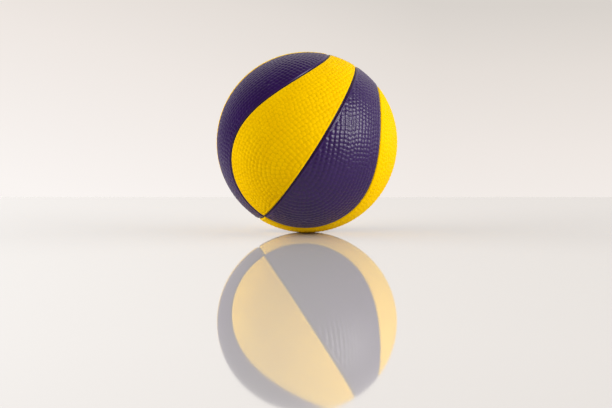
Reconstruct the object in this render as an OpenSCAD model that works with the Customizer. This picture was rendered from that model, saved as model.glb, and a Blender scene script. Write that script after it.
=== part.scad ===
// Small inflatable rubber basketball with eight moulded cover panels
// Origin at the centre of the ball, +Z up, lying as it rests on a floor

/* [Ball] */
// Outer diameter over the panels
ball_d = 129.4; // [110:0.1:250]

/* [Lie on the floor] */
// Tilt about X of the ball from standing on its lower waist, degrees
lie_tilt = 1.9; // [-180:0.1:180]
// Lean about Y, degrees
lie_lean = 32.4; // [-180:0.1:180]
// Turn about Z, degrees
lie_turn = 5.7; // [-180:0.1:180]

/* [Curved seam] */
// Pinch that draws the curved seam in at the upper waist, as a ratio
upper_pinch_ratio = 0.75; // [0.6:0.01:0.8]
// Pinch that draws the curved seam in at the lower waist, as a ratio
lower_pinch_ratio = 0.35; // [0.25:0.01:0.6]
// Rise of the curved seam from one waist to the other, as a ratio
rise_ratio = 1.18; // [1.1:0.01:1.4]
// Flattening of the curved seam at the tips of its lobes, as a ratio
flat_ratio = 0.11; // [0.05:0.01:0.25]
// Shift of the curved seam away from the upper waist, as a ratio
shift_ratio = 0.33; // [0.2:0.01:0.4]

/* [Channels] */
// Width of a channel between the walls of two panels
channel_w = 0.8; // [0.6:0.1:3]
// Depth of a channel's floor below the panels
channel_depth = 1.0; // [0.6:0.1:1.3]
// Radius of the rolled panel edges
lip_r = 1.4; // [0.4:0.1:1.6]
// Gap between a channel strip and what lies beside it
strip_clear = 0.1; // [0.05:0.05:0.3]

/* [Layers] */
// Thickness of the cover panels
cover_t = 1.8; // [1.6:0.1:3]
// Thickness of the rubber carcass
carcass_t = 1.2; // [0.8:0.1:2.5]
// Thickness of the thread winding
winding_t = 0.6; // [0.3:0.1:1.5]
// Thickness of the air bladder
bladder_t = 0.9; // [0.6:0.1:2]
// Glue line between two layers
bond = 0.05; // [0.04:0.01:0.1]

/* [Valve] */
// Angle of the valve from the upper waist, along the straight seam, degrees
valve_along = 96; // [80:1:110]
// Angle of the valve off the straight seam, degrees
valve_off = -25; // [-32:1:-18]
// Radius of the neck that shows in the cover
neck_r = 3.8; // [3.4:0.1:5]
// Depth of the neck's face below the panel
neck_recess = 0.5; // [0.2:0.1:1]
// Radius of the flange under the bladder
flange_r = 12; // [9:0.5:16]
// Thickness of the flange
flange_t = 1.4; // [0.8:0.1:2.5]
// Radius of the stem inside the ball
stem_r = 5; // [4.4:0.1:7]
// Radius of the reinforcing patch round the neck
patch_r = 14; // [10:0.5:20]
// Radius of the plug's head
plug_head_r = 2.8; // [2.6:0.1:3]
// Thickness of the plug's head
plug_head_t = 1.2; // [0.8:0.1:2]
// Radius of the plug's shank
plug_r = 2.1; // [1.8:0.1:2.3]
// Length of the plug's shank under its head
plug_shank_l = 8.5; // [7:0.5:12]
// Radius of the bulb that locks the plug
plug_bulb_r = 2.9; // [2.6:0.1:3.2]
// Length of the bulb
plug_bulb_l = 5; // [4:0.5:7]
// Radius of the passage for the inflating needle
needle_r = 1.0; // [0.8:0.05:1.2]
// Depth of the needle passage, which the rubber closes at its end
needle_l = 12; // [8:0.5:13]
// Radius of the air hole at the stem's inner end
air_hole_r = 1.4; // [1:0.1:2]
// Thickness of the stem's inner end
stem_end_t = 2; // [1.5:0.5:4]
// Gap round the neck and round the plug
valve_clear = 0.1; // [0.05:0.05:0.3]

/* [Hidden] */
$fn = 96;

yellow = [0.96, 0.76, 0.0];
purple = [0.22, 0.13, 0.35];
channel_colour = [0.13, 0.08, 0.20];

// Steps along the closed curved seam, a multiple of four
seam_steps = 128;
// Straight pieces that make up a rolled edge
lip_steps = 3;

ball_r = ball_d / 2;
cover_in_r = ball_r - cover_t;
carcass_out_r = cover_in_r - bond;
carcass_in_r = carcass_out_r - carcass_t;
winding_out_r = carcass_in_r - bond;
winding_in_r = winding_out_r - winding_t;
bladder_out_r = winding_in_r - bond;
bladder_in_r = bladder_out_r - bladder_t;
flange_out_r = bladder_in_r - bond;

strip_w = channel_w - 2 * strip_clear;
strip_out_r = ball_r - channel_depth;
strip_end = strip_w / 2 + strip_clear;

// Heights along the valve's own axis, from the ball's centre
neck_z = ball_r - neck_recess;
plug_shank_z = neck_z - plug_head_t;
plug_bulb_z = plug_shank_z - plug_shank_l;
plug_end_z = plug_bulb_z - plug_bulb_l;
plug_tip_r = plug_bulb_r / 2;
stem_end_z = plug_end_z - valve_clear - stem_end_t;

// Reach of the cutting solids beyond the ball
reach = 2 * ball_r;
lobe_cap_r = 2.4 * ball_r;

function unit(v) = v / norm(v);

// The curved seam waves twice round the ball, as on a tennis ball, and is drawn in
// more at the upper waist than at the lower one
function seam_point(a) = [
    cos(a) - upper_pinch_ratio * cos(3 * a),
    sin(a) + lower_pinch_ratio * sin(3 * a),
    rise_ratio * cos(2 * a) - flat_ratio * cos(4 * a) - shift_ratio
];
function seam_dir(a) = unit(seam_point(a));
// Direction on the ball, square to the seam, that points into the face panels
function seam_side(a) = unit(cross(seam_dir(a), seam_dir(a + 0.5) - seam_dir(a - 0.5)));
function beside_seam(a, r, off) = r * unit(seam_dir(a) + seam_side(a) * off / r);
function seam_angle(i) = (i + 0.5) * 360 / seam_steps;
// How far the straight pieces of the curved seam dip below the ball's curve
function step_sag(i) =
    cover_in_r * (1 - norm(seam_dir(seam_angle(i)) + seam_dir(seam_angle(i + 1))) / 2);
seam_sag = max([for (i = [0 : seam_steps - 1]) step_sag(i)]);

// Half of a channel's section, as [radius, half width], from under the cover to above it
channel_half = concat(
    [[cover_in_r - cover_t, channel_w / 2], [ball_r - lip_r, channel_w / 2]],
    [for (i = [1 : lip_steps - 1]) lip_point(90 * i / lip_steps)],
    [lip_point(180 - 90 * (lip_steps - 1) / lip_steps)]
);
// A point on the rolled edge; past the top it rises above the panel on the last straight piece
function lip_point(a) = [
    ball_r - lip_r * (a > 90 ? sin(a) - 1 : 1 - sin(a)),
    channel_w / 2 + lip_r * (1 - cos(a))
];

module lay() {
    rotate([lie_tilt, lie_lean, lie_turn]) children();
}

module at_valve() {
    rotate([-valve_along, 0, 0]) rotate([0, valve_off, 0]) children();
}

module shell(outer_r, inner_r) {
    difference() {
        sphere(outer_r);
        sphere(inner_r);
    }
}

// Turns a ring round Z into the plane of the straight seam or of the cross seam
module in_straight_plane() {
    rotate([0, 90, 0]) children();
}

module in_cross_plane() {
    rotate([90, 0, 0]) children();
}

module channel_ring() {
    mirrored = [for (i = [len(channel_half) - 1 : -1 : 0]) [channel_half[i][0], -channel_half[i][1]]];
    rotate_extrude() polygon(concat(channel_half, mirrored));
}

// One quarter of space, kept clear of the two great-circle planes by less than half a channel
module quarter(side_x, side_y) {
    inset = channel_w / 4;
    mirror([side_x < 0 ? 1 : 0, 0, 0])
        mirror([0, side_y < 0 ? 1 : 0, 0])
            translate([inset, inset, -reach])
                cube([reach, reach, 2 * reach]);
}

// The space under and over the face panels, with the channel's section along the curved seam
// side is 1 for the face panels' own edge, and -1 for the edge of the side panels
module lobe_pair(side) {
    n = seam_steps;
    tip = channel_half[len(channel_half) - 1];
    rings = concat(channel_half, [[lobe_cap_r, tip[1] * lobe_cap_r / tip[0]]]);
    last = len(rings) - 1;
    points = concat(
        [[0, 0, 0]],
        [for (ring = rings) for (i = [0 : n - 1]) beside_seam(seam_angle(i), ring[0], side * ring[1])]
    );
    function at(ring, i) = 1 + ring * n + (i + n) % n;
    // The seam is symmetrical across the straight seam's plane, so the cap joins
    // each point to its mirror image
    function twin(i) = n / 2 - 1 - i;
    core = [for (i = [0 : n - 1]) [0, at(0, i), at(0, i + 1)]];
    wall_a = [for (k = [0 : last - 1]) for (i = [0 : n - 1]) [at(k, i), at(k + 1, i + 1), at(k, i + 1)]];
    wall_b = [for (k = [0 : last - 1]) for (i = [0 : n - 1]) [at(k, i), at(k + 1, i), at(k + 1, i + 1)]];
    cap = [for (i = [-n / 4 : n / 4 - 2])
        [at(last, twin(i)), at(last, twin(i + 1)), at(last, i + 1), at(last, i)]];
    polyhedron(points, concat(core, wall_a, wall_b, cap));
}

// The shell's poles lie in the cross channel, away from every panel
module panel_blank(side_x, side_y) {
    difference() {
        intersection() {
            in_straight_plane() shell(ball_r, cover_in_r);
            quarter(side_x, side_y);
        }
        in_straight_plane() channel_ring();
        in_cross_plane() channel_ring();
    }
}

module face_panel(side_x, side_y) {
    intersection() {
        panel_blank(side_x, side_y);
        lobe_pair(1);
    }
}

module side_panel(side_x, side_y) {
    difference() {
        panel_blank(side_x, side_y);
        lobe_pair(-1);
    }
}

module neck_hole(hole_r) {
    at_valve() cylinder(r = hole_r, h = reach);
}

module face_panel_front_left() {
    color(yellow) lay() face_panel(-1, -1);
}

module face_panel_front_right() {
    color(purple) lay() face_panel(1, -1);
}

module face_panel_back_left() {
    color(purple) lay() difference() {
        face_panel(-1, 1);
        neck_hole(neck_r + valve_clear);
    }
}

module face_panel_back_right() {
    color(yellow) lay() face_panel(1, 1);
}

module side_panel_left_front() {
    color(purple) lay() side_panel(-1, -1);
}

module side_panel_left_back() {
    color(yellow) lay() side_panel(-1, 1);
}

module side_panel_right_front() {
    color(yellow) lay() side_panel(1, -1);
}

module side_panel_right_back() {
    color(purple) lay() side_panel(1, 1);
}

module strip_ring() {
    rotate_extrude()
        translate([cover_in_r, -strip_w / 2])
            square([strip_out_r - cover_in_r, strip_w]);
}

module straight_strip() {
    color(channel_colour) lay() in_straight_plane() strip_ring();
}

// Half of the cross ring, which butts against the straight strip at both ends
module cross_strip(side_x) {
    color(channel_colour) lay() intersection() {
        in_cross_plane() strip_ring();
        mirror([side_x < 0 ? 1 : 0, 0, 0])
            translate([strip_end, -reach, -reach])
                cube([reach, 2 * reach, 2 * reach]);
    }
}

module cross_strip_left() {
    cross_strip(-1);
}

module cross_strip_right() {
    cross_strip(1);
}

// A quarter of the curved seam, from the cross strip to the straight strip
module curved_strip(side_x, side_y) {
    n = seam_steps / 4 + 1;
    half = strip_w / 2;
    seat_r = cover_in_r + seam_sag;
    section = [[seat_r, -half], [seat_r, half], [strip_out_r, half], [strip_out_r, -half]];
    points = [for (i = [0 : n]) for (s = section) beside_seam(seam_angle(i - 1), s[0], s[1])];
    function at(i, k) = 4 * i + k % 4;
    sides_a = [for (i = [0 : n - 1]) for (k = [0 : 3]) [at(i, k), at(i + 1, k + 1), at(i, k + 1)]];
    sides_b = [for (i = [0 : n - 1]) for (k = [0 : 3]) [at(i, k), at(i + 1, k), at(i + 1, k + 1)]];
    ends = [[at(0, 0), at(0, 1), at(0, 2), at(0, 3)], [at(n, 3), at(n, 2), at(n, 1), at(n, 0)]];
    color(channel_colour) lay()
        mirror([side_x < 0 ? 1 : 0, 0, 0])
            mirror([0, side_y < 0 ? 1 : 0, 0])
                intersection() {
                    polyhedron(points, concat(sides_a, sides_b, ends));
                    translate([strip_end, strip_end, -reach])
                        cube([reach, reach, 2 * reach]);
                }
}

module curved_strip_front_left() {
    curved_strip(-1, -1);
}

module curved_strip_front_right() {
    curved_strip(1, -1);
}

module curved_strip_back_left() {
    curved_strip(-1, 1);
}

module curved_strip_back_right() {
    curved_strip(1, 1);
}

// One half of the rubber carcass, split in the plane of the cross seam
module carcass_half(side_y) {
    mirror([0, side_y < 0 ? 1 : 0, 0])
        intersection() {
            rotate([-90, 0, 0]) shell(carcass_out_r, carcass_in_r);
            translate([-reach, bond / 2, -reach])
                cube([2 * reach, reach, 2 * reach]);
        }
}

module carcass_front() {
    color("dimgray") lay() carcass_half(-1);
}

module carcass_back() {
    color("dimgray") lay() difference() {
        carcass_half(1);
        neck_hole(neck_r + valve_clear);
    }
}

// The winding leaves room for the patch round the valve
module thread_winding() {
    color("wheat") lay() difference() {
        shell(winding_out_r, winding_in_r);
        neck_hole(patch_r + valve_clear);
    }
}

module valve_patch() {
    color("black") lay() difference() {
        intersection() {
            shell(winding_out_r, winding_in_r);
            neck_hole(patch_r);
        }
        neck_hole(neck_r + valve_clear);
    }
}

module bladder() {
    color("darkslategray") lay() difference() {
        shell(bladder_out_r, bladder_in_r);
        neck_hole(neck_r + valve_clear);
    }
}

// The plug's outline, which the housing's cavity repeats with a clearance and a rise past the neck
module plug_outline(clear, rise) {
    polygon([
        [0, plug_end_z - clear],
        [plug_tip_r + clear, plug_end_z - clear],
        [plug_bulb_r + clear, plug_end_z + plug_bulb_l / 2],
        [plug_r + clear, plug_bulb_z + clear],
        [plug_r + clear, plug_shank_z - clear],
        [plug_head_r + clear, plug_shank_z - clear],
        [plug_head_r + clear, neck_z + rise],
        [0, neck_z + rise]
    ]);
}

module valve_housing() {
    color("black") lay() difference() {
        at_valve() {
            intersection() {
                shell(flange_out_r, flange_out_r - flange_t);
                cylinder(r = flange_r, h = reach);
            }
            translate([0, 0, stem_end_z])
                cylinder(r = stem_r, h = flange_out_r - flange_t / 2 - stem_end_z);
            translate([0, 0, stem_end_z])
                cylinder(r = neck_r, h = neck_z - stem_end_z);
        }
        at_valve() {
            rotate_extrude() plug_outline(valve_clear, neck_recess);
            translate([0, 0, stem_end_z - stem_end_t])
                cylinder(r = air_hole_r, h = 3 * stem_end_t);
        }
    }
}

module valve_plug() {
    color("gray") lay() at_valve() difference() {
        rotate_extrude() plug_outline(0, 0);
        translate([0, 0, neck_z - needle_l])
            cylinder(r = needle_r, h = needle_l + neck_recess);
    }
}

face_panel_front_left();
face_panel_front_right();
face_panel_back_left();
face_panel_back_right();
side_panel_left_front();
side_panel_left_back();
side_panel_right_front();
side_panel_right_back();
straight_strip();
cross_strip_left();
cross_strip_right();
curved_strip_front_left();
curved_strip_front_right();
curved_strip_back_left();
curved_strip_back_right();
carcass_front();
carcass_back();
thread_winding();
valve_patch();
bladder();
valve_housing();
valve_plug();
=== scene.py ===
import math

import bpy
import numpy as np
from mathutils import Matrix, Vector


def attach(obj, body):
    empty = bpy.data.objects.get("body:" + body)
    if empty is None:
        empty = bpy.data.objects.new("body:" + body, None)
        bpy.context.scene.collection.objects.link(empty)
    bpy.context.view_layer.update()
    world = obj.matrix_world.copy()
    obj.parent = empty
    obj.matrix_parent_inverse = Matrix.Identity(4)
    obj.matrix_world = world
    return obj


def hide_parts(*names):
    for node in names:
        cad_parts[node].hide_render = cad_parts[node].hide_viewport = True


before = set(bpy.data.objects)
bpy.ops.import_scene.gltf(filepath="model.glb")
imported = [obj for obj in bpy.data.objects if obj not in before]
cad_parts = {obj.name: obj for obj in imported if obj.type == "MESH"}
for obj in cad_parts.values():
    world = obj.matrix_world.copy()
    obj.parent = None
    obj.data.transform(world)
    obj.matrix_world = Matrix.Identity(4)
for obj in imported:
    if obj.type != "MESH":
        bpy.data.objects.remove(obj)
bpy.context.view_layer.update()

MM = 0.001

# The ball's construction sizes, in millimetres and degrees
BALL_R = 64.7
COVER_IN_R = 62.9
CHANNEL_HALF = 0.4
LIP_R = 1.4
STRIP_HALF = 0.3
STRIP_OUT_R = 63.7
STRIP_END = 0.4
STRIP_DISH = 0.1
CURVED_SEAT = 0.15
VALVE_HOLE_R = 3.9
VALVE_ALONG, VALVE_OFF = 96.0, -25.0
LIE_TILT, LIE_LEAN, LIE_TURN = 1.9, 32.4, 5.7
UPPER_PINCH, LOWER_PINCH, RISE, FLAT, SHIFT = 0.75, 0.35, 1.18, 0.11, 0.33

# Moulded pebbles and the smooth land round them, in millimetres
PEBBLE_PITCH = 3.1
PEBBLE_H = 0.45
PEBBLE_R = 1.95
LAND_DROP = 0.12
LAND_W = 1.3
FADE_W = 0.9
VALVE_LAND_R = 6.5
SIZE_RANGE = (0.97, 1.03)
HEIGHT_RANGE = (0.92, 1.0)

# Rows of pebbles: the first row's and any pebble's distance from the land, in millimetres,
# and the rows' step, the unevenness and the least distance of two pebbles, in pitches
ROWS = 24
FIRST_ROW = 1.25
SEED_MARGIN = 1.0
ROW_SLACK = 0.12
ROW_STEP = 0.866
STEP_SPREAD, PHASE_SPREAD, SEED_SPREAD = 0.03, 0.12, 0.05
LEAST_GAP = 0.74
RECENT_SEEDS = 90
FIRST_SEED = 100

# Points along the curved seam, with the degrees they span, and points handled at a time
ROW_SPAN, ROW_POINTS = (-2, 92), 2400
SEAM_SPAN, SEAM_POINTS = (-12, 102), 460
RUN_POINTS = 1200
SEAM_CHUNK, SEED_CHUNK = 8000, 4000

# Half the span of the search for a corner or a strip's end, and half a step along the seam, in radians
CORNER_SEARCH, END_SEARCH = 0.35, 0.3
TANGENT_STEP = 0.004
HALVINGS = 60

# Cells along and across a panel, and how many of them one inner cell spans
CELLS_LONG, CELLS_ACROSS, INNER_STEP = 440, 150, 10
LIP_ANGLES = (75, 60, 45, 30, 15, 0)
SHARP_ANGLE = math.radians(55)

# Points across a strip's top and along each kind of strip
STRIP_TOP, STRAIGHT_POINTS, CROSS_POINTS, CURVED_POINTS = 9, 480, 240, 260

# The valve hole's cutter: its sides, and how far it reaches past the cover, in millimetres
CUTTER_SIDES, CUTTER_UNDER, CUTTER_OVER = 96, 8, 5

# Pointiness of a mesh in the creases between pebbles, where the painted shade is fullest, and where it is flat
# and unshaded
CREASE_POINT, FLAT_POINT = 0.46, 0.505


def turn(axis, degrees):
    c, s = math.cos(math.radians(degrees)), math.sin(math.radians(degrees))
    i, j = [(1, 2), (2, 0), (0, 1)][axis]
    m = np.eye(3)
    m[i, i], m[i, j], m[j, i], m[j, j] = c, -s, s, c
    return m


LAY = turn(2, LIE_TURN) @ turn(1, LIE_LEAN) @ turn(0, LIE_TILT)
VALVE_DIR = turn(0, -VALVE_ALONG) @ turn(1, VALVE_OFF) @ np.array([0.0, 0.0, 1.0])


def unit(v):
    return v / np.linalg.norm(v, axis=-1, keepdims=True)


def seam_dir(a):
    """Directions of the curved seam's middle."""
    return unit(np.stack([
        np.cos(a) - UPPER_PINCH * np.cos(3 * a),
        np.sin(a) + LOWER_PINCH * np.sin(3 * a),
        RISE * np.cos(2 * a) - FLAT * np.cos(4 * a) - SHIFT,
    ], axis=-1))


def seam_side(a):
    """Directions across the curved seam, into the face panels."""
    return unit(np.cross(seam_dir(a), seam_dir(a + TANGENT_STEP) - seam_dir(a - TANGENT_STEP)))


def beside_seam(a, off, r):
    """Directions beside the curved seam, off millimetres into the face panels at radius r."""
    a = np.asarray(a, float)
    return unit(seam_dir(a) + seam_side(a) * off / r)


def solve(f, lo, hi):
    """The root of f between lo and hi, by halving."""
    f_lo = f(lo)
    for _ in range(HALVINGS):
        mid = 0.5 * (lo + hi)
        if (f(mid) > 0) == (f_lo > 0):
            lo = mid
        else:
            hi = mid
    return 0.5 * (lo + hi)


def run_lengths(p):
    """Length of the line through the points p, from its start to each of them."""
    return np.concatenate([[0.0], np.cumsum(np.linalg.norm(np.diff(p, axis=0), axis=1))])


def even_run(f, a0, a1, count):
    """count + 1 points of f(a) from a0 to a1, evenly spaced along its length."""
    a = np.linspace(a0, a1, RUN_POINTS)
    run = run_lengths(f(a))
    return f(np.interp(np.linspace(0, run[-1], count + 1), run, a))


# A panel in the quarter x > 0, y > 0: the axis it is long beside, the other axis, its pole,
# its side of the curved seam, and where its run along that seam starts, turns and ends
PANEL_KINDS = {
    "face": {
        "long": 0, "short": 1, "pole": 1.0, "into": 1.0,
        "from": 0.0, "split": math.radians(78), "to": math.radians(90),
    },
    "side": {
        "long": 1, "short": 0, "pole": -1.0, "into": -1.0,
        "from": math.radians(90), "split": math.radians(12), "to": 0.0,
    },
}


def panel_sides(kind, inset, r):
    """The four sides of a panel, inset millimetres from the seams' middles, as directions."""
    k = PANEL_KINDS[kind]
    along, across = k["long"], k["short"]
    s = inset / r
    c = math.sqrt(1 - s * s)

    def curve(a):
        return beside_seam(a, k["into"] * inset, r)

    def beside_plane(fixed, free, angles):
        p = np.zeros((len(angles), 3))
        p[:, fixed] = s
        p[:, free] = c * np.sin(angles)
        p[:, 2] = k["pole"] * c * np.cos(angles)
        return p

    search = CORNER_SEARCH if k["to"] > k["from"] else -CORNER_SEARCH
    a_b = solve(lambda a: curve(a)[across] - s, k["from"] - search, k["from"] + search)
    a_c = solve(lambda a: curve(a)[along] - s, k["to"] - search, k["to"] + search)
    corner_b, corner_c = curve(a_b), curve(a_c)
    first = math.asin(s / c)
    last_long = math.atan2(corner_c[across], k["pole"] * corner_c[2])
    last_short = math.atan2(corner_b[along], k["pole"] * corner_b[2])
    long_side = beside_plane(along, across, np.linspace(first, last_long, CELLS_LONG + 1))
    short_side = beside_plane(across, along, np.linspace(first, last_short, CELLS_ACROSS + 1))
    curve_side = even_run(curve, a_b, k["split"], CELLS_LONG)
    tip_side = even_run(curve, a_c, k["split"], CELLS_ACROSS)
    return long_side, curve_side, short_side, tip_side


def panel_grid(sides):
    """Directions of a grid spanned between four sides."""
    long_side, curve_side, short_side, tip_side = sides
    s = np.linspace(0, 1, CELLS_LONG + 1)[:, None, None]
    t = np.linspace(0, 1, CELLS_ACROSS + 1)[None, :, None]
    p = (1 - t) * long_side[:, None] + t * curve_side[:, None]
    p = p + (1 - s) * short_side[None] + s * tip_side[None]
    p = p - (1 - s) * (1 - t) * long_side[0] - s * (1 - t) * long_side[-1]
    p = p - (1 - s) * t * curve_side[0] - s * t * curve_side[-1]
    return unit(p)


def panel_ring(sides):
    """The four sides in one loop, in the order that ring_index gives the grid's rim."""
    long_side, curve_side, short_side, tip_side = sides
    return np.concatenate([short_side[:-1], curve_side[:-1], tip_side[:0:-1], long_side[:0:-1]])


def ring_index():
    """Places of the grid's rim, once round."""
    n, m = CELLS_LONG, CELLS_ACROSS
    rim = [(0, j) for j in range(m)] + [(i, m) for i in range(n)]
    rim += [(n, j) for j in range(m, 0, -1)] + [(i, 0) for i in range(n, 0, -1)]
    return rim


RIM = ring_index()
RIM_PLACE = {ij: k for k, ij in enumerate(RIM)}


def seam_distance(d):
    """Distances in millimetres, along the ball, from directions to their panel's walls and to the curved seam."""
    seam = seam_dir(np.radians(np.linspace(*SEAM_SPAN, SEAM_POINTS)))
    near = np.empty(len(d))
    for start in range(0, len(d), SEAM_CHUNK):
        part = d[start:start + SEAM_CHUNK]
        near[start:start + SEAM_CHUNK] = (part @ seam.T).max(axis=1)
    curved = BALL_R * np.arccos(np.clip(near, -1, 1))
    straight = BALL_R * np.arcsin(np.clip(d[:, 0], -1, 1))
    cross = BALL_R * np.arcsin(np.clip(d[:, 1], -1, 1))
    return np.minimum(np.minimum(curved, straight), cross) - CHANNEL_HALF, curved


def pebble_seeds(kind, rng):
    """Middles of the pebbles: rows that follow the curved seam, every second row moved on by half a step."""
    into = PANEL_KINDS[kind]["into"]
    a = np.radians(np.linspace(*ROW_SPAN, ROW_POINTS))
    seam = seam_dir(a)
    first = CHANNEL_HALF + LAND_W + FIRST_ROW
    closest = math.cos(LEAST_GAP * PEBBLE_PITCH / BALL_R)
    seeds = []
    for row in range(ROWS):
        inset = first + row * PEBBLE_PITCH * ROW_STEP
        side = unit(beside_seam(a, into * inset, BALL_R) - seam)
        p = unit(seam * math.cos(inset / BALL_R) + side * math.sin(inset / BALL_R))
        walls, curved = seam_distance(p)
        keep = (curved > inset - ROW_SLACK) & (walls > LAND_W + SEED_MARGIN)
        run = run_lengths(p) * BALL_R
        step = PEBBLE_PITCH * (1 + STEP_SPREAD * rng.standard_normal())
        phase = (0.5 * (row % 2) + PHASE_SPREAD * rng.standard_normal()) * step
        for x in np.arange(phase % step, run[-1], step):
            i = int(np.searchsorted(run, x))
            if i < len(p) and keep[i]:
                q = unit(p[i] + rng.normal(0, SEED_SPREAD * PEBBLE_PITCH / BALL_R, 3))
                if all(np.dot(q, o) < closest for o in seeds[-RECENT_SEEDS:]):
                    seeds.append(q)
    return np.array(seeds)


def smooth_step(x):
    x = np.clip(x, 0, 1)
    return x * x * (3 - 2 * x)


def pebble_radius(d, seeds, rng, valve):
    """Outer radius of a panel at each direction: smooth land by the walls, pebbles inside it."""
    size = PEBBLE_R * rng.uniform(*SIZE_RANGE, len(seeds))
    tall = rng.uniform(*HEIGHT_RANGE, len(seeds))
    best = np.zeros(len(d))
    for start in range(0, len(d), SEED_CHUNK):
        part = d[start:start + SEED_CHUNK]
        gap2 = 2 * BALL_R ** 2 * (1 - part @ seeds.T)
        best[start:start + SEED_CHUNK] = (tall * np.clip(1 - gap2 / size ** 2, 0, 1)).max(axis=1)
    walls, _ = seam_distance(d)
    weight = smooth_step((walls - LAND_W) / FADE_W)
    if valve is not None:
        gap = BALL_R * np.arccos(np.clip(d @ valve, -1, 1))
        weight = weight * smooth_step((gap - VALVE_LAND_R) / FADE_W)
    land = BALL_R - LAND_DROP
    return land * (1 - weight) + (BALL_R - PEBBLE_H + PEBBLE_H * best) * weight


def mesh_object(name, points_mm, faces, flip):
    """A smooth-shaded object from points in the ball's own frame; flip turns its faces round."""
    if flip:
        faces = [f[::-1] for f in faces]
    mesh = bpy.data.meshes.new(name)
    mesh.from_pydata((points_mm @ LAY.T * MM).tolist(), [], faces)
    mesh.polygons.foreach_set("use_smooth", [True] * len(mesh.polygons))
    mesh.set_sharp_from_angle(angle=SHARP_ANGLE)
    mesh.update()
    obj = bpy.data.objects.new(name, mesh)
    bpy.context.scene.collection.objects.link(obj)
    return obj


def panel_faces():
    """Faces of a panel's top, rolled edges, walls and coarser inner side, and the places of the inner points."""
    n, m = CELLS_LONG, CELLS_ACROSS

    def at(i, j):
        return i * (m + 1) + j

    faces = [
        (at(i, j), at(i, j + 1), at(i + 1, j + 1), at(i + 1, j))
        for i in range(n) for j in range(m)
    ]
    rim = [at(i, j) for i, j in RIM]
    count = (n + 1) * (m + 1)
    rings = [rim]
    for _ in range(len(LIP_ANGLES) + 1):
        rings.append(list(range(count, count + len(rim))))
        count += len(rim)
    for upper, lower in zip(rings[:-1], rings[1:]):
        for k in range(len(rim)):
            q = (k + 1) % len(rim)
            faces.append((upper[k], lower[k], lower[q], upper[q]))
    bottom = rings[-1]
    inner = {}
    for i in range(INNER_STEP, n, INNER_STEP):
        for j in range(INNER_STEP, m, INNER_STEP):
            inner[i, j] = count
            count += 1

    def run(i0, j0, i1, j1):
        """Corners of one inner cell's edge without its last, with every point where the edge lies on the rim."""
        on_rim = (i0 == i1 and i0 in (0, n)) or (j0 == j1 and j0 in (0, m))
        steps = INNER_STEP if on_rim else 1
        out = []
        for k in range(steps):
            i = i0 + (i1 - i0) * k // steps
            j = j0 + (j1 - j0) * k // steps
            out.append(inner[i, j] if (i, j) in inner else bottom[RIM_PLACE[i, j]])
        return out

    for i in range(0, n, INNER_STEP):
        for j in range(0, m, INNER_STEP):
            i2, j2 = i + INNER_STEP, j + INNER_STEP
            corners = run(i, j, i2, j) + run(i2, j, i2, j2)
            corners += run(i2, j2, i, j2) + run(i, j2, i, j)
            faces.append(tuple(corners))
    return faces, sorted(inner)


PANEL_FACES, INNER_PLACES = panel_faces()


def panel_points(kind, seed, valve):
    """All points of one panel in the first quarter, in millimetres."""
    rng = np.random.default_rng(seed)
    land = BALL_R - LAND_DROP
    top = panel_grid(panel_sides(kind, CHANNEL_HALF + LIP_R, BALL_R)).reshape(-1, 3)
    seeds = pebble_seeds(kind, rng)
    parts = [top * pebble_radius(top, seeds, rng, valve)[:, None]]
    for angle in LIP_ANGLES:
        a = math.radians(angle)
        inset = CHANNEL_HALF + LIP_R * (1 - math.cos(a))
        r = land - LIP_R * (1 - math.sin(a))
        parts.append(panel_ring(panel_sides(kind, inset, r)) * r)
    under = panel_sides(kind, CHANNEL_HALF, COVER_IN_R)
    parts.append(panel_ring(under) * COVER_IN_R)
    grid = panel_grid(under)
    parts.append(np.array([grid[i, j] for i, j in INNER_PLACES]) * COVER_IN_R)
    return np.concatenate(parts)


def linear(*srgb):
    """Linear light from 8-bit display values."""
    out = []
    for c in srgb:
        c = c / 255
        out.append(c / 12.92 if c <= 0.04045 else ((c + 0.055) / 1.055) ** 2.4)
    return (*out, 1.0)


def new_material(name):
    """A material, its shader tree and its shader."""
    material = bpy.data.materials.new(name)
    material.use_nodes = True
    tree = material.node_tree
    return material, tree, tree.nodes["Principled BSDF"]


def add(tree, kind, **values):
    """A shader node with values for its sockets, named with _ for a space, or else for its settings."""
    node = tree.nodes.new(kind)
    for key, value in values.items():
        socket = key.replace("_", " ")
        if socket in node.inputs:
            node.inputs[socket].default_value = value
        else:
            setattr(node, key, value)
    return node


def noise(tree, place, **values):
    """Noise over the places that the socket place gives."""
    node = add(tree, "ShaderNodeTexNoise", **values)
    tree.links.new(place, node.inputs["Vector"])
    return node.outputs["Fac"]


def spread(tree, value, low, high, to_low, to_high):
    """Runs from to_low to to_high as value goes from low to high."""
    node = add(tree, "ShaderNodeMapRange", From_Min=low, From_Max=high, To_Min=to_low, To_Max=to_high)
    tree.links.new(value, node.inputs["Value"])
    return node.outputs["Result"]


def blend(tree, fac, stops):
    """A colour that runs through stops, each a position and a colour, as fac goes from 0 to 1."""
    ramp = add(tree, "ShaderNodeValToRGB")
    elements = ramp.color_ramp.elements
    while len(elements) < len(stops):
        elements.new(0.5)
    for element, (position, colour) in zip(elements, stops):
        element.position = position
        element.color = colour
    tree.links.new(fac, ramp.inputs["Fac"])
    return ramp.outputs["Color"]


def emboss(tree, shader, height, strength, distance):
    """Fine relief on a shader, distance metres high."""
    bump = add(tree, "ShaderNodeBump", Strength=strength, Distance=distance)
    tree.links.new(height, bump.inputs["Height"])
    tree.links.new(bump.outputs["Normal"], shader.inputs["Normal"])


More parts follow.
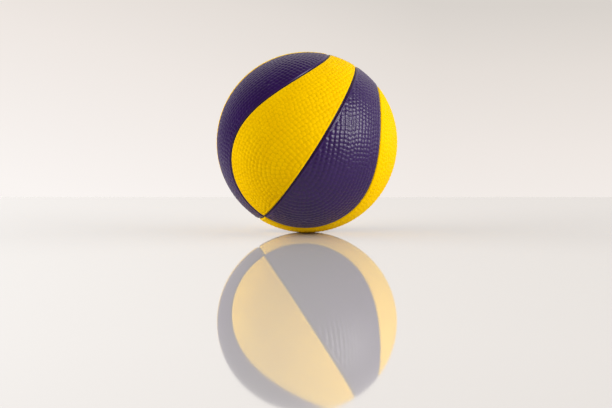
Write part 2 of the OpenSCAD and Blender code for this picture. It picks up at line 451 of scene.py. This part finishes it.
def rubber(name, shade, tone, rough, ior=1.5, shine=0.5, bloom=0.0, bloom_tint=(1, 1, 1, 1), crease_shade=0.0):
    """Moulded rubber: two near tones in soft patches, uneven gloss, a fine grain, a bloom, and painted shade that
    darkens the colour in the creases between pebbles.
    """
    material, tree, shader = new_material(name)
    place = add(tree, "ShaderNodeTexCoord").outputs["Object"]
    patches = noise(tree, place, Scale=60.0, Detail=4.0, Roughness=0.6)
    colour = blend(tree, patches, [(0.3, shade), (0.7, tone)])
    form = add(tree, "ShaderNodeNewGeometry")
    # Painted shade: the colour is darkened where the mesh's pointiness marks the creases between pebbles
    crease_shade_level = spread(tree, form.outputs["Pointiness"], CREASE_POINT, FLAT_POINT, 1 - crease_shade, 1.0)
    crease_shaded_colour = add(tree, "ShaderNodeVectorMath", operation="SCALE")
    tree.links.new(colour, crease_shaded_colour.inputs[0])
    tree.links.new(crease_shade_level, crease_shaded_colour.inputs["Scale"])
    tree.links.new(crease_shaded_colour.outputs["Vector"], shader.inputs["Base Color"])
    wear = noise(tree, place, Scale=240.0, Detail=3.0)
    tree.links.new(spread(tree, wear, 0.0, 1.0, *rough), shader.inputs["Roughness"])
    emboss(tree, shader, noise(tree, place, Scale=900.0, Detail=2.0), strength=0.35, distance=0.00003)
    shader.inputs["IOR"].default_value = ior
    shader.inputs["Specular IOR Level"].default_value = shine
    shader.inputs["Sheen Weight"].default_value = bloom
    shader.inputs["Sheen Tint"].default_value = bloom_tint
    return material


def thread(name):
    """Wound nylon: fine wavy stripes of thread."""
    material, tree, shader = new_material(name)
    place = add(tree, "ShaderNodeTexCoord")
    wave = add(tree, "ShaderNodeTexWave", Scale=300.0, Distortion=6.0, Detail=2.0)
    tree.links.new(place.outputs["Object"], wave.inputs["Vector"])
    colour = blend(tree, wave.outputs["Fac"], [(0.0, linear(150, 138, 112)), (1.0, linear(222, 212, 190))])
    tree.links.new(colour, shader.inputs["Base Color"])
    emboss(tree, shader, wave.outputs["Fac"], strength=0.5, distance=0.0001)
    shader.inputs["Roughness"].default_value = 0.75
    return material


# The yellow and purple rubbers darken the creases between their pebbles by a set amount, as painted shade
yellow = rubber(
    "yellow_rubber", linear(242, 190, 0), linear(249, 199, 0), (0.40, 0.50),
    ior=1.06, bloom=0.45, bloom_tint=(1, 0.76, 0, 1), crease_shade=0.19,
)
purple = rubber(
    "purple_rubber", linear(40, 7, 75), linear(46, 12, 83), (0.31, 0.38),
    shine=0.44, crease_shade=0.3,
)
# Channel rubber: the panels' own purple, darkened as painted shade of the narrow grooves
channel = rubber("channel_rubber", linear(30, 18, 46), linear(38, 24, 58), (0.42, 0.55))
carcass = rubber("carcass_rubber", linear(44, 42, 42), linear(58, 56, 55), (0.6, 0.75))
black = rubber("bladder_rubber", linear(22, 22, 24), linear(32, 32, 34), (0.4, 0.55))
valve_black = rubber("valve_rubber", linear(20, 18, 20), linear(30, 27, 30), (0.38, 0.5))
wound = thread("wound_thread")


def cut_valve_hole(obj):
    """Cuts the round hole for the valve's neck through a panel."""
    count = CUTTER_SIDES
    axis = LAY @ VALVE_DIR
    u = unit(np.cross(axis, [0.0, 0.0, 1.0]))
    v = np.cross(axis, u)
    turnings = np.linspace(0, 2 * math.pi, count, endpoint=False)
    circle = VALVE_HOLE_R * (np.cos(turnings)[:, None] * u + np.sin(turnings)[:, None] * v)
    ends = [circle + axis * (COVER_IN_R - CUTTER_UNDER), circle + axis * (BALL_R + CUTTER_OVER)]
    faces = [(k, (k + 1) % count, count + (k + 1) % count, count + k) for k in range(count)]
    faces += [tuple(range(count))[::-1], tuple(range(count, 2 * count))]
    mesh = bpy.data.meshes.new("valve_cutter")
    mesh.from_pydata((np.concatenate(ends) * MM).tolist(), [], faces)
    cutter = bpy.data.objects.new("valve_cutter", mesh)
    bpy.context.scene.collection.objects.link(cutter)
    cut = obj.modifiers.new("valve_hole", "BOOLEAN")
    cut.operation = "DIFFERENCE"
    cut.solver = "EXACT"
    cut.object = cutter
    bpy.context.view_layer.update()
    solid = bpy.data.meshes.new_from_object(obj.evaluated_get(bpy.context.evaluated_depsgraph_get()))
    obj.modifiers.remove(cut)
    old = obj.data
    obj.data = solid
    bpy.data.meshes.remove(old)
    bpy.data.objects.remove(cutter)
    bpy.data.meshes.remove(mesh)


# Node, kind, quarter of the ball, rubber, record slot
PANELS = [
    ("face_panel_front_left", "face", -1, -1, yellow, "yellow_panel"),
    ("face_panel_front_right", "face", 1, -1, purple, "purple_panel"),
    ("face_panel_back_left", "face", -1, 1, purple, "purple_panel"),
    ("face_panel_back_right", "face", 1, 1, yellow, "yellow_panel"),
    ("side_panel_left_front", "side", -1, -1, purple, "purple_panel"),
    ("side_panel_left_back", "side", -1, 1, yellow, "yellow_panel"),
    ("side_panel_right_front", "side", 1, -1, yellow, "yellow_panel"),
    ("side_panel_right_back", "side", 1, 1, purple, "purple_panel"),
]
VALVE_PANEL = "face_panel_back_left"
VALVE_IN_QUARTER = np.abs(VALVE_DIR) * [1, 1, np.sign(VALVE_DIR[2])]

for order, (node, kind, side_x, side_y, paint, slot) in enumerate(PANELS):
    valve = VALVE_IN_QUARTER if node == VALVE_PANEL else None
    points = panel_points(kind, FIRST_SEED + order, valve) * [side_x, side_y, 1]
    panel = mesh_object(node + "_cover", points, PANEL_FACES, side_x * side_y < 0)
    if valve is not None:
        cut_valve_hole(panel)
    panel.data.materials.clear()
    panel.data.materials.append(paint)
    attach(panel, "root")
    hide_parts(node)


def strip_object(name, middles, sides, seat, closed, flip):
    """A channel strip with a dished top, swept along middles; sides point across it."""
    across = np.linspace(-STRIP_HALF, STRIP_HALF, STRIP_TOP)
    section = [(o, STRIP_OUT_R + STRIP_DISH * (o / STRIP_HALF) ** 2) for o in across]
    section += [(STRIP_HALF, seat), (-STRIP_HALF, seat)]
    size = len(section)
    points = np.concatenate([
        np.stack([r * unit(d + s * o / r) for o, r in section]) for d, s in zip(middles, sides)
    ])
    count = len(middles)
    faces = []
    for i in range(count if closed else count - 1):
        for k in range(size):
            a, b = i * size, ((i + 1) % count) * size
            q = (k + 1) % size
            faces.append((a + k, b + k, b + q, a + q))
    if not closed:
        faces.append(tuple(range(size)))
        faces.append(tuple(range((count - 1) * size, count * size))[::-1])
    return mesh_object(name, points, faces, flip)


def straight_run():
    """Middles and sides of the straight ring."""
    a = np.linspace(0, 2 * math.pi, STRAIGHT_POINTS, endpoint=False)
    return np.stack([0 * a, np.sin(a), np.cos(a)], axis=-1), np.tile([1.0, 0.0, 0.0], (len(a), 1))


def cross_run():
    """Middles and sides of the right half of the cross seam."""
    first = math.asin(STRIP_END / STRIP_OUT_R)
    a = np.linspace(first, math.pi - first, CROSS_POINTS)
    return np.stack([np.sin(a), 0 * a, np.cos(a)], axis=-1), np.tile([0.0, 1.0, 0.0], (len(a), 1))


def curved_run():
    """Middles and sides of one quarter of the curved seam."""
    end = STRIP_END / STRIP_OUT_R
    quarter = math.pi / 2
    first = solve(lambda a: seam_dir(np.array(a))[1] - end, -END_SEARCH, END_SEARCH)
    last = solve(lambda a: seam_dir(np.array(a))[0] - end, quarter - END_SEARCH, quarter + END_SEARCH)
    a = np.linspace(first, last, CURVED_POINTS)
    return seam_dir(a), seam_side(a)


# Node, run, quarter of the ball, seat, closed, flip
STRIPS = [("straight_strip", straight_run(), 1, 1, COVER_IN_R, True, False)]
for name, side_x in (("cross_strip_left", -1), ("cross_strip_right", 1)):
    STRIPS.append((name, cross_run(), side_x, 1, COVER_IN_R, False, side_x > 0))
for name, side_x, side_y in (
    ("curved_strip_front_left", -1, -1), ("curved_strip_front_right", 1, -1),
    ("curved_strip_back_left", -1, 1), ("curved_strip_back_right", 1, 1),
):
    seat, flip = COVER_IN_R + CURVED_SEAT, side_x * side_y < 0
    STRIPS.append((name, curved_run(), side_x, side_y, seat, False, flip))

for node, (middles, sides), side_x, side_y, seat, closed, flip in STRIPS:
    mirror = np.array([side_x, side_y, 1.0])
    strip = strip_object(node + "_floor", middles * mirror, sides * mirror, seat, closed, flip)
    strip.data.materials.append(channel)
    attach(strip, "root")
    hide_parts(node)

# The pieces inside the ball keep their construction shapes
for node, paint in (
    ("carcass_front", carcass), ("carcass_back", carcass), ("thread_winding", wound),
    ("valve_patch", carcass), ("bladder", black), ("valve_housing", valve_black), ("valve_plug", valve_black),
):
    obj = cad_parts[node]
    obj.data.materials.clear()
    obj.data.materials.append(paint)

# Pale glossy table top, which ends a little behind the ball
FLOOR_Z = -BALL_R * MM
FLOOR_SIDE, FLOOR_NEAR, FLOOR_FAR = 3, -3.2, 0.29
floor_mesh = bpy.data.meshes.new("floor")
floor_mesh.from_pydata([
    (-FLOOR_SIDE, FLOOR_NEAR, FLOOR_Z), (FLOOR_SIDE, FLOOR_NEAR, FLOOR_Z),
    (FLOOR_SIDE, FLOOR_FAR, FLOOR_Z), (-FLOOR_SIDE, FLOOR_FAR, FLOOR_Z),
], [], [(0, 1, 2, 3)])
floor = bpy.data.objects.new("floor", floor_mesh)
bpy.context.scene.collection.objects.link(floor)
floor_paint, tree, shader = new_material("floor_white")
place = add(tree, "ShaderNodeTexCoord").outputs["Object"]
cloud = noise(tree, place, Scale=1.5, Detail=2.0)
white = blend(tree, cloud, [(0.0, (0.755, 0.734, 0.717, 1)), (1.0, (0.775, 0.754, 0.737, 1))])
tree.links.new(white, shader.inputs["Base Color"])
shader.inputs["Roughness"].default_value = 0.03
shader.inputs["IOR"].default_value = 1.62
floor_mesh.materials.append(floor_paint)


def floor_link(name, state):
    """A group for light linking in which the floor alone is taken in or left out."""
    group = bpy.data.collections.new(name)
    group.objects.link(floor)
    group.collection_objects[0].light_linking.link_state = state
    return group


ALL_BUT_FLOOR = floor_link("all_but_floor", "EXCLUDE")
FLOOR_ALONE = floor_link("floor_alone", "INCLUDE")


def area_light(name, lights, direction, distance, size, power, colour, glint=True):
    """A soft lamp on the pieces in the group lights; without glint no gloss shows it."""
    data = bpy.data.lights.new(name, "AREA")
    data.shape = "RECTANGLE"
    data.size, data.size_y = size
    data.energy = power
    data.color = colour
    lamp = bpy.data.objects.new(name, data)
    bpy.context.scene.collection.objects.link(lamp)
    lamp.location = Vector(direction).normalized() * distance
    lamp.rotation_euler = (-lamp.location).to_track_quat("-Z", "Y").to_euler()
    lamp.light_linking.receiver_collection = lights
    lamp.visible_glossy = glint
    lamp.visible_camera = False


# Lamps on the ball: direction, distance and size in metres, power in watts, colour
WARM, PALE = (1.0, 0.985, 0.96), (1.0, 0.99, 0.98)
BALL_LAMP = 1.7
area_light("key", ALL_BUT_FLOOR, (0.80, -0.44, 0.35), BALL_LAMP, (0.95, 1.3), 17.4, WARM)
area_light("core", ALL_BUT_FLOOR, (0.72, -0.545, 0.43), BALL_LAMP, (0.52, 0.6), 12.4, WARM)
area_light("top", ALL_BUT_FLOOR, (0.5, 0.42, 0.76), BALL_LAMP, (1.4, 1.2), 4.0, PALE)
area_light("rim", ALL_BUT_FLOOR, (0.85, 0.5, 0.05), BALL_LAMP, (1.2, 0.8), 4.5, PALE)
area_light("left", ALL_BUT_FLOOR, (-0.96, 0.14, 0.12), BALL_LAMP, (1.7, 0.55), 30.0, PALE, glint=False)

# The floor has two broad lamps of its own, so that its gloss mirrors none of the lamps on the ball
FLOOR_LAMP, FLOOR_LAMP_SIZE = 2.6, (3.4, 1.2)
for name, direction, power in (
    ("floor_left", (-0.95, -0.12, 0.36), 80.0), ("floor_right", (0.95, -0.12, 0.36), 76.0),
):
    area_light(name, FLOOR_ALONE, direction, FLOOR_LAMP, FLOOR_LAMP_SIZE, power, PALE, glint=False)

world = bpy.data.worlds.new("studio")
bpy.context.scene.world = world
world.use_nodes = True
sky = world.node_tree
room = sky.nodes["Background"]
room.inputs["Color"].default_value = (1.0, 0.98, 0.96, 1)
outward = add(sky, "ShaderNodeTexCoord").outputs["Generated"]
split = add(sky, "ShaderNodeSeparateXYZ")
sky.links.new(outward, split.inputs["Vector"])


def wall_light(fac, tones):
    """A plain background whose tone runs through tones as fac goes from 0 to 1."""
    light = add(sky, "ShaderNodeBackground", Strength=1.0)
    colour = blend(sky, fac, [(position, linear(*tone)) for position, tone in tones])
    sky.links.new(colour, light.inputs["Color"])
    return light


# The room is bright behind the ball and darker behind the camera
room_level = spread(sky, split.outputs["Y"], low=-0.6, high=0.9, to_low=0.2, to_high=0.7)
sky.links.new(room_level, room.inputs["Strength"])

# The wall behind darkens upward and a little to the right, as far as WALL_RIGHT
WALL_RIGHT, WALL_SLOPE = 0.04, 0.3
rightward = add(sky, "ShaderNodeMath", operation="MINIMUM")
sky.links.new(split.outputs["X"], rightward.inputs[0])
rightward.inputs[1].default_value = WALL_RIGHT
height = add(sky, "ShaderNodeMath", operation="MULTIPLY_ADD")
sky.links.new(rightward.outputs["Value"], height.inputs[0])
height.inputs[1].default_value = WALL_SLOPE
sky.links.new(split.outputs["Z"], height.inputs[2])
wall = wall_light(
    spread(sky, height.outputs["Value"], low=-0.11, high=-0.015, to_low=0, to_high=1),
    [(0.0, (250, 245, 242)), (0.52, (239, 232, 227)), (0.8, (229, 222, 216)), (1.0, (217, 211, 205))],
)

# What gloss mirrors of the room: brightest in the direction BRIGHTEST, and darker to the right
BRIGHTEST = (0.06, 1.0, 0.3)
mirrored = wall_light(
    spread(sky, split.outputs["X"], low=-0.1, high=0.1, to_low=0, to_high=1),
    [(0.0, (255, 251, 248)), (0.5, (243, 237, 232)), (1.0, (233, 227, 222))],
)
nearness = add(sky, "ShaderNodeVectorMath", operation="DOT_PRODUCT")
sky.links.new(outward, nearness.inputs[0])
nearness.inputs[1].default_value = BRIGHTEST
mirror_level = spread(sky, nearness.outputs["Value"], low=0.6, high=0.97, to_low=0.09, to_high=1.0)
sky.links.new(mirror_level, mirrored.inputs["Strength"])

path = add(sky, "ShaderNodeLightPath")
lit = room
for ray, light in (("Is Glossy Ray", mirrored), ("Is Transmission Ray", mirrored), ("Is Camera Ray", wall)):
    mix = add(sky, "ShaderNodeMixShader")
    sky.links.new(path.outputs[ray], mix.inputs["Fac"])
    sky.links.new(lit.outputs[0], mix.inputs[1])
    sky.links.new(light.outputs[0], mix.inputs[2])
    lit = mix
sky.links.new(lit.outputs[0], sky.nodes["World Output"].inputs["Surface"])

# Long lens, four degrees above the ball; it points a little below the ball, as in the photograph.
# Its distance and aim are in radii of the ball, its lens and sensor in millimetres
ELEVATION = math.radians(4.0)
CAMERA_FAR, AIM_UP, AIM_RIGHT = 35, -0.683, -0.010
LENS, SENSOR_W, CLIP_END = 186.2, 36.0, 50.0
back = Vector((0, -math.cos(ELEVATION), math.sin(ELEVATION)))
up = Vector((0, math.sin(ELEVATION), math.cos(ELEVATION)))
aim = (up * AIM_UP + Vector((1, 0, 0)) * AIM_RIGHT) * BALL_R * MM
camera_data = bpy.data.cameras.new("camera")
camera_data.sensor_width = SENSOR_W
camera_data.lens = LENS
camera_data.clip_end = CLIP_END
camera = bpy.data.objects.new("camera", camera_data)
bpy.context.scene.collection.objects.link(camera)
camera.location = back * (CAMERA_FAR * BALL_R * MM)
camera.rotation_euler = (aim - camera.location).to_track_quat("-Z", "Y").to_euler()
bpy.context.scene.camera = camera
bpy.context.scene.view_settings.view_transform = "Standard"
